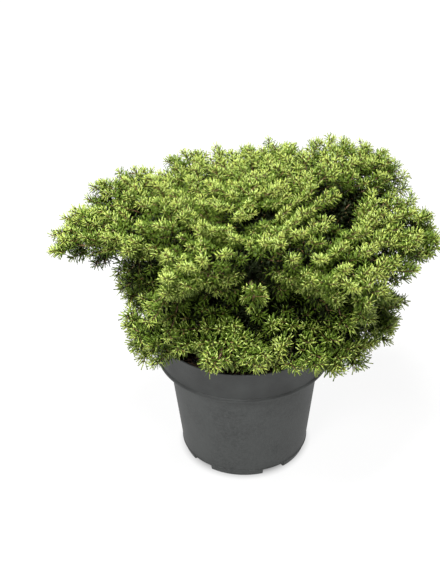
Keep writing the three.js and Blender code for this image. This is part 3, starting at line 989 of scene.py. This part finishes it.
def grow_side_shoots(growth, lobe, path, normal, young_odds, random):
    """Shoots that leave a twig by turns left and right, and lift a little towards the light."""
    tip, heel = path[-1], path[0]
    short = shortness(tip[2])
    spacing = lerp(*SIDE_SPACING, short)
    usual = sizes().shoot_length / MM * lerp(1, SHORT_SHOOT_SHARE, short)
    run = np.linalg.norm(tip - heel)
    for j in range(sizes().side_shoots):
        back = SIDE_FIRST + j * spacing * lerp(*SIDE_SPACING_SPREAD, random())
        angle = math.radians(SIDE_ANGLE + SIDE_ANGLE_SPREAD * (2 * random() - 1))
        lift = math.radians(lerp(*SIDE_LIFT, random()))
        longer = min(SIDE_LENGTH_MOST, SIDE_LENGTH_FIRST + SIDE_LENGTH_STEP * j)
        length = usual * lerp(*SIDE_LENGTH_SPREAD, random()) * longer
        is_young = random() < young_odds
        if back > run * SIDE_LAST_SHARE:
            continue
        place = (1 - back / run) * (len(path) - 1)
        step = int(place)
        foot = lerp(path[step], path[step + 1], place - step)
        along = unit(path[step + 1] - path[step])
        up = square_to(normal, along)
        side = np.cross(along, up) * (1 if j % 2 else -1)
        direction = along * math.cos(angle) + (side * math.cos(lift) + up * math.sin(lift)) * math.sin(angle)
        for share in (1, CUT_BACK_SHARE):
            if lobe.feeds(foot + direction * (length * share + NEEDLE_PAST), 0):
                shoot = Shoot(foot, direction, up, length * share, lobe.name, True, is_young)
                growth.shoots.append(shoot)
                break


def grow_mass(growth, lobe, seed):
    """Twigs spread evenly round one mass by the seeded rule of the part's source, each swept forward
    from the stem, with a shoot at its tip and side shoots behind it. A shoot that isn't its own is a
    stretch of twig that bears needles."""
    random = seeded(seed)
    foot = TRUNK_TIP if lobe.outward is None else lobe.bough_tip()
    main = lobe.axes[2] if lobe.outward is None else lobe.axes[0]
    head = lobe.middle + main * lobe.reach_along(main, lobe.feeds) * STEM_SHARE
    growth.stems.append((foot, head))
    stem = head - foot
    stem_length = np.linalg.norm(stem)
    stem = stem / stem_length
    for i in range(STEM_SHOOTS):
        around = i * GOLDEN_ANGLE
        across = math.cos(around) * lobe.axes[1] + math.sin(around) * np.cross(stem, lobe.axes[1])
        way = unit(across + stem * TWIG_SWEEP)
        place = foot + stem * stem_length * (i + 0.5) / STEM_SHOOTS
        growth.shoots.append(Shoot(place, way, stem, STEM_SHOOT_LENGTH, lobe.name, True, False))
    count = round(sizes().twigs * np.mean(lobe.halves) ** 2 / MIDDLING_HALF**2)
    for i in range(count):
        height = 1 - 2 * (i + 0.5) / count
        around = i * GOLDEN_ANGLE + random() * SPRAY_TURN
        level = math.sqrt(1 - height * height)
        local = np.array([level * math.cos(around), level * math.sin(around), height])
        direction = (local * lobe.halves) @ lobe.axes
        whole = np.linalg.norm(direction)
        direction = direction / whole
        size = lerp(*TWIG_REACH, random())
        young_draw = random()
        reach = lobe.reach_along(direction, lobe.feeds)
        if reach < SHORTEST_TWIG:
            continue
        walled = reach < 1 / lobe.share(direction) - 2 * CELL_MARGIN
        tip = lobe.middle + direction * (reach - WALL_PAST if walled else reach * size - NEEDLE_PAST)
        layer = round((tip[2] - lobe.middle[2]) / LAYER_SPACING) * LAYER_SPACING + lobe.middle[2]
        layered = tip + UP * (layer - tip[2]) * LAYER_PULL * level
        if lobe.feeds(layered, 0):
            tip = layered
        abreast = (tip - foot) @ stem
        distance = np.linalg.norm(tip - foot - stem * abreast)
        nearest, farthest = (share * stem_length for share in STEM_USED)
        root = foot + stem * np.clip(abreast - TWIG_SWEEP * distance, nearest, farthest)
        outward = unit(direction * LEVEL) if lobe.outward is None else lobe.outward
        sideways = np.cross(UP, outward) * TWIG_STRAY * (2 * random() - 1)
        upturn = UP * lerp(*TWIG_UPTURN, random())
        last_way = unit(direction * TWIG_OWN_WAY + outward * TWIG_OUTWARD + sideways + upturn)
        bend = tip - last_way * np.linalg.norm(tip - root) * TWIG_TURN_SHARE
        shares = np.linspace(0, 1, TWIG_POINTS)[:, None]
        path = (1 - shares) ** 2 * root + 2 * shares * (1 - shares) * bend + shares**2 * tip
        growth.twigs.append(path)
        light = "up" if direction[2] > POINTS_UP else "level"
        young_odds = YOUNG_ODDS[light if reach > whole * SPRAY_OPEN_SHARE else "hidden"]
        run = np.linalg.norm(tip - path[0])
        ahead = unit(path[-1] - path[-2])
        normal = unit(direction * FAN_TILT + UP + np.cross(UP, ahead) * FAN_ROLL * (2 * random() - 1))
        terminal = lerp(*TERMINAL_LENGTH, shortness(tip[2]))
        length = min(terminal, run * TERMINAL_MOST_SHARE)
        start, up = tip - ahead * length, square_to(normal, ahead)
        growth.shoots.append(Shoot(start, ahead, up, length, lobe.name, True, young_draw < young_odds))
        if run > terminal * NEEDLED_TWIG_SHARE:
            for start, end in zip(path[: TWIG_POINTS - 2], path[1:]):
                length = np.linalg.norm(end - start)
                ahead = (end - start) / length
                up = square_to(normal, ahead)
                growth.shoots.append(Shoot(start, ahead, up, length, lobe.name, False, False))
        grow_side_shoots(growth, lobe, path, normal, young_odds, random)


def depths_in(lobes, points):
    """How far points lie under the crown's surface, on the way out from the lobe that covers them most."""
    deepest = np.full(len(points), -np.inf)
    for lobe in lobes:
        offsets = points - lobe.middle
        share = np.maximum(lobe.share(offsets), LEAST_SHARE)
        deepest = np.maximum(deepest, np.linalg.norm(offsets, axis=-1) * (1 / share - 1))
    return deepest


def grow_crown():
    growth = Growth()
    lobes = lay_out_lobes()
    for i, lobe in enumerate(lobes):
        grow_mass(growth, lobe, SEED + i)
    tips = tips_of(growth.shoots)
    # How deep each tip lies, and how deep the place above and outwards of it: these set the needles' painted
    # shade
    growth.depths = np.minimum(depths_in(lobes, tips), beyond_bare(tips))
    growth.cover = depths_in(lobes, tips + UP * COVER_HEIGHT + unit(tips * LEVEL) * COVER_OUT)
    return growth


GROWN = {}


def grown():
    """The crown's growth, worked out once."""
    if "crown" not in GROWN:
        GROWN["crown"] = grow_crown()
    return GROWN["crown"]


def tubes(paths, foot_radius, tip_radius, sides):
    """Closed tapering tubes along paths that all have the same number of points."""
    paths = np.asarray(paths, float)
    count, steps = paths.shape[:2]
    ahead = unit(np.gradient(paths, axis=1))
    across = unit(np.cross(ahead, SKEW))
    other = np.cross(ahead, across)
    radii = np.linspace(foot_radius, tip_radius, steps)[None, :, None, None]
    angles = (np.arange(sides) * math.tau / sides)[None, None, :, None]
    ring = across[:, :, None] * np.cos(angles) + other[:, :, None] * np.sin(angles)
    points = (paths[:, :, None] + ring * radii).reshape(-1, 3)
    triangles = []
    for step in range(steps - 1):
        for k in range(sides):
            a, b = step * sides + k, step * sides + (k + 1) % sides
            triangles += [(a, b, b + sides), (a, b + sides, a + sides)]
    last = (steps - 1) * sides
    for k in range(1, sides - 1):
        triangles += [(0, k + 1, k), (last, last + k, last + k + 1)]
    return points, copies(triangles, steps * sides, count)


def buds(shoots):
    """A pointed bud at each shoot's tip: two three-sided pyramids base to base, six faces."""
    tips = tips_of(shoots)
    ways = of_all(shoots, "direction")
    across = unit(np.cross(ways, SKEW))
    other = np.cross(ways, across)
    corners = [tips - ways * BUD_LENGTH * BUD_BEHIND, tips + ways * BUD_LENGTH * (1 - BUD_BEHIND)]
    for angle in (0, math.tau / 3, 2 * math.tau / 3):
        corners.append(tips + (across * math.cos(angle) + other * math.sin(angle)) * BUD_RADIUS)
    faces = [(0, 3, 2), (0, 4, 3), (0, 2, 4), (1, 2, 3), (1, 3, 4), (1, 4, 2)]
    return np.stack(corners, axis=1).reshape(-1, 3), copies(faces, 5, len(tips))


def joined(some, others):
    """Two sets of points and triangles as one."""
    points = np.concatenate([some[0], others[0]])
    return points, np.concatenate([some[1], others[1] + len(some[0])])


def clothe(shoots, inner, seed):
    """The needles of shoots: the shoot that each stands on, its root, direction, side, face, length and
    width, and whether it is at the young end. Inner shoots have fewer and wider needles, which take the
    shaded tone and fill the crown's inside as painted shade."""
    random = np.random.default_rng(seed)
    fields = ("foot", "direction", "up", "length", "own")
    foot, direction, up, length, own = (of_all(shoots, field) for field in fields)
    short = shortness(foot[:, 2])
    spacing = sizes().needle_spacing / MM * lerp(LONG_SPACING_SHARE, 1, short)
    spacing *= np.where(inner, INNER_SPACING_SHARE, np.where(own, 1, TWIG_SPACING_SHARE))
    counts = np.maximum(FEWEST_NEEDLES, (length / spacing).astype(int))
    owner = np.repeat(np.arange(len(shoots)), counts)
    first = np.concatenate([[0], np.cumsum(counts)[:-1]])
    number = np.arange(len(owner)) - first[owner]
    share = (number + 0.5) / counts[owner]
    d, u = direction[owner], up[owner]
    turn = number * GOLDEN_ANGLE + random.uniform(0, math.tau, len(shoots))[owner]
    turn += random.normal(0, NEEDLE_TURN_SPREAD, len(owner))
    radial = unit(u * (np.cos(turn) + NEEDLE_PARTING)[:, None] + np.cross(d, u) * np.sin(turn)[:, None])
    angle = lerp(NEEDLE_FOOT_ANGLE, NEEDLE_TIP_ANGLE, share**3)
    angle = np.radians(angle + random.normal(0, NEEDLE_ANGLE_SPREAD, len(owner)))
    cos, sin = np.cos(angle)[:, None], np.sin(angle)[:, None]
    ahead = d * cos + radial * sin
    face = d * sin - radial * cos
    side = np.cross(ahead, face)
    roll = random.uniform(0, math.pi, len(owner))[:, None]
    side, face = side * np.cos(roll) + face * np.sin(roll), face * np.cos(roll) - side * np.sin(roll)
    root = foot[owner] + d * (length[owner] * share)[:, None]
    long = sizes().needle_length / MM * random.uniform(*NEEDLE_LENGTHS, len(owner))
    long = long * (1 - END_NEEDLE_LOSS * share**4) * lerp(1, SHORT_NEEDLE_SHARE, short[owner])
    width = sizes().needle_width / MM * lerp(1, NARROW_NEEDLE_SHARE, short)
    width = width * np.where(inner, INNER_WIDTH_SHARE, 1)
    return owner, root, ahead, side, face, long, width[owner], share > YOUNG_FROM


def needle_blades(root, ahead, side, face, long, width):
    """Slim needles, from an edge at the foot to an edge across it at the tip: four faces, square in the
    middle as a spruce's are."""
    foot_half = side * (width / 2)[:, None]
    tip_half = face * (width * NEEDLE_TIP_SHARE / 2)[:, None]
    tip = root + ahead * long[:, None]
    points = np.stack([root - foot_half, root + foot_half, tip - tip_half, tip + tip_half], axis=1)
    return points.reshape(-1, 3), copies([(0, 2, 1), (0, 1, 3), (0, 3, 2), (1, 2, 3)], 4, len(root))


def mass_nodes(*tiers):
    return [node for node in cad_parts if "_mass_" in node and node.split("_mass_")[0] in tiers]


def tone_of(depth, cover, young_shoot, young_end):
    """The tone of the needles at one end of a shoot. Deep in the crown, or under foliage above and outwards,
    the tone is darker as painted shade.
    """
    if depth > INNER_DEPTH or (cover > COVER_DEPTH and depth > OUTER_DEPTH):
        return "shaded"
    if depth > OUTER_DEPTH:
        return "mature"
    if cover > DEEP_COVER:
        return "mature" if young_end or young_shoot else "shaded"
    if young_shoot and cover <= COVER_DEPTH:
        return "young" if young_end else "fresh"
    return "fresh" if young_end else "mature"


def clothe_tiers(tiers, seed, materials):
    """The needles of a few tiers, as one piece for each tone, the darker tones being painted shade."""
    growth = grown()
    mine = [i for i, shoot in enumerate(growth.shoots) if shoot.tier in tiers]
    shoots = [growth.shoots[i] for i in mine]
    depths = growth.depths[mine]
    owner, *blades, young = clothe(shoots, depths > INNER_DEPTH, seed)
    tones = [
        [tone_of(depth, cover, shoot.young, end) for end in (False, True)]
        for depth, cover, shoot in zip(depths, growth.cover[mine], shoots)
    ]
    tone = np.array(tones)[owner, young.astype(int)]
    for name, material in materials.items():
        points, triangles = needle_blades(*(values[tone == name] for values in blades))
        piece_name = f"needles_{tiers[0]}_{name}"
        piece_of_many(piece_name, "needles", mass_nodes(*tiers), material, points, triangles)


# Stage
def lay_floor():
    floor = added(bpy.ops.mesh.primitive_plane_add, size=FLOOR_SIZE, location=(0, 0, -FLOOR_DROP))
    floor.name = "floor"
    material, tree, shader = new_material("backlit_acrylic_table", colours().floor, roughness=0.9)
    place = add_node(tree, "TexCoord", output="Object")
    radius = add_node(tree, "VectorMath", {0: place}, "Value", operation="LENGTH")
    # The table's glow is painted out under the pot's middle and faded close to its foot: a painted contact
    # shadow
    inner, outer = (edge * MM for edge in PAINTED_CONTACT_SHADOW_MM)
    reach = {"Value": radius, "From Min": inner, "From Max": outer, "To Max": FLOOR_GLOW}
    glow_with_painted_contact_shadow = add_node(tree, "MapRange", reach, interpolation_type="SMOOTHSTEP")
    set_inputs(tree, shader, {"Emission Color": (1, 1, 1, 1), "Emission Strength": glow_with_painted_contact_shadow})
    floor.data.materials.append(material)


def light_stage():
    world = bpy.data.worlds.new("studio")
    world.use_nodes = True
    tree = world.node_tree
    way = add_node(tree, "TexCoord", output="Generated")
    rise = add_node(tree, "SeparateXYZ", {"Vector": way}, "Z")
    # White where the floor ends, and dim above, where the softboxes give the light
    reach = dict(zip(("From Min", "From Max", "To Min", "To Max"), HORIZON + BACKDROP))
    dimmed = add_node(tree, "MapRange", {"Value": rise, **reach})
    set_inputs(tree, tree.nodes["Background"], {"Color": (1, 1, 1, 1), "Strength": dimmed})
    bpy.context.scene.world = world
    for name, place, size, power in SOFTBOXES:
        bpy.ops.object.light_add(type="AREA", location=place)
        lamp = bpy.context.object
        lamp.name = name
        lamp.data.size = size
        lamp.data.energy = power
        aim = Vector(LIGHT_AIM) - Vector(place)
        lamp.rotation_euler = aim.to_track_quat("-Z", "Y").to_euler()


def set_camera():
    elevation = math.radians(CAMERA_ELEVATION)
    roll = math.radians(CAMERA_ROLL)
    back = Vector((0, -math.cos(elevation), math.sin(elevation)))
    rise = Vector((0, math.sin(elevation), math.cos(elevation)))
    right = Vector((1, 0, 0))
    level = right * math.cos(roll) + rise * math.sin(roll)
    upright = rise * math.cos(roll) - right * math.sin(roll)
    place = Vector((0, 0, CAMERA_TARGET_HEIGHT)) + back * CAMERA_DISTANCE + level * CAMERA_SIDESTEP
    bpy.ops.object.camera_add(location=place)
    camera = bpy.context.object
    turn = Matrix((level, upright, back)).transposed().to_4x4()
    camera.matrix_world = Matrix.Translation(place) @ turn
    camera.data.sensor_width = SENSOR_MM
    camera.data.lens = FOCAL_PX * SENSOR_MM / PICTURE_HEIGHT_PX
    bpy.context.scene.camera = camera


# Operators
class SPRUCE_OT_stage(bpy.types.Operator):
    """Lay the glowing table, with a painted contact shadow round the pot's foot, and set soft studio light
    and the camera
    """

    bl_idname = "spruce.stage"
    bl_label = "Stage"

    def execute(self, context):
        lay_floor()
        light_stage()
        set_camera()
        context.scene.view_settings.view_transform = "Standard"
        return {"FINISHED"}


class SPRUCE_OT_pot(bpy.types.Operator):
    """Turn the nursery pot with its deep collar, and cut the drainage bays between its feet"""

    bl_idname = "spruce.pot"
    bl_label = "Pot"

    def execute(self, context):
        make_pot()
        return {"FINISHED"}


class SPRUCE_OT_compost(bpy.types.Operator):
    """Fill the pot with crumbly compost and scatter bark chips on it"""

    bl_idname = "spruce.compost"
    bl_label = "Compost"

    def execute(self, context):
        make_compost()
        points, triangles = chips_of_bark(sizes().chips, sizes().chip_length / MM)
        piece_of_many("bark_chips", "compost", ["compost"], chip_material(), points, triangles)
        return {"FINISHED"}


class SPRUCE_OT_limbs(bpy.types.Operator):
    """Grow the trunk and its boughs, with scaly bark"""

    bl_idname = "spruce.limbs"
    bl_label = "Trunk and boughs"

    def execute(self, context):
        bark = bark_material()
        relief = sizes().bark_relief
        make_limb("trunk", trunk_controls(), trunk_radius, TRUNK_STEPS, relief, bark)
        relief *= BOUGH_RELIEF_SHARE
        for lobe in lay_out_lobes():
            if lobe.outward is not None:
                node = f"{lobe.name}_bough_{lobe.number}"
                make_limb(node, bough_controls(lobe), lobe.bough_radius_at, BOUGH_STEPS, relief, bark)
        return {"FINISHED"}


class SPRUCE_OT_twigs(bpy.types.Operator):
    """Grow the stems, twigs, shoots and buds of every mass of foliage"""

    bl_idname = "spruce.twigs"
    bl_label = "Twigs"

    def execute(self, context):
        growth = grown()
        shoot_bark = young_bark_material("orange_shoot_bark", colours().shoots)
        twig_bark = young_bark_material("grey_brown_twig_bark", colours().twigs)
        stem_paths = [np.linspace(foot, head, 3) for foot, head in growth.stems]
        stems = tubes(stem_paths, BOUGH_TIP_RADIUS, STEM_TIP_RADIUS, STEM_SIDES)
        twigs = joined(stems, tubes(growth.twigs, TWIG_ROOT_RADIUS, TWIG_TIP_RADIUS, TWIG_SIDES))
        own = [shoot for shoot in growth.shoots if shoot.own]
        shoot_paths = np.stack([of_all(own, "foot"), tips_of(own)], axis=1)
        shoots = tubes(shoot_paths, SHOOT_RADIUS, SHOOT_RADIUS * SHOOT_TAPER, TWIG_SIDES)
        budded = [
            shoot
            for shoot, depth in zip(growth.shoots, growth.depths)
            if shoot.own and not shoot.young and depth < OUTER_DEPTH
        ]
        nodes = mass_nodes("top", "shelf", "skirt", "crown")
        for name, parts, bark in (
            ("twigs", twigs, twig_bark),
            ("shoots", shoots, shoot_bark),
            ("buds", buds(budded), shoot_bark),
        ):
            piece_of_many(name, "bark", nodes, bark, *parts)
        return {"FINISHED"}


class SPRUCE_OT_needles(bpy.types.Operator):
    """Clothe every shoot in needles, yellow-green at the tips in the light, and darker deep in the crown and
    under foliage as painted shade
    """

    bl_idname = "spruce.needles"
    bl_label = "Needles"

    def execute(self, context):
        materials = {
            tone: needle_material(f"{tone}_spruce_needles", getattr(colours(), tone), wax)
            for tone, wax in NEEDLE_WAX.items()
        }
        for number, tiers in enumerate(NEEDLED_TIERS):
            clothe_tiers(tiers, SEED + number, materials)
        return {"FINISHED"}


STEPS = (
    SPRUCE_OT_stage,
    SPRUCE_OT_pot,
    SPRUCE_OT_compost,
    SPRUCE_OT_limbs,
    SPRUCE_OT_twigs,
    SPRUCE_OT_needles,
)


class SPRUCE_PT_panel(bpy.types.Panel):
    """Sizes, colours and steps of the potted spruce"""

    bl_idname = "SPRUCE_PT_panel"
    bl_label = "Potted spruce"
    bl_space_type = "VIEW_3D"
    bl_region_type = "UI"
    bl_category = "Spruce"

    def draw(self, context):
        for group in (context.scene.spruce_sizes, context.scene.spruce_colours):
            box = self.layout.box()
            for name in group.bl_rna.properties.keys():
                if name not in ("rna_type", "name"):
                    box.prop(group, name)
        for step in STEPS:
            self.layout.operator(step.bl_idname)


CLASSES = (SpruceSizes, SpruceColours, *STEPS, SPRUCE_PT_panel)


def register():
    for item in CLASSES:
        bpy.utils.register_class(item)
    bpy.types.Scene.spruce_sizes = bpy.props.PointerProperty(type=SpruceSizes)
    bpy.types.Scene.spruce_colours = bpy.props.PointerProperty(type=SpruceColours)


def unregister():
    del bpy.types.Scene.spruce_colours
    del bpy.types.Scene.spruce_sizes
    for item in reversed(CLASSES):
        bpy.utils.unregister_class(item)


def main():
    register()
    for step in STEPS:
        group, name = step.bl_idname.split(".")
        getattr(getattr(bpy.ops, group), name)()
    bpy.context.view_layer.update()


if __name__ == "__main__":
    main()
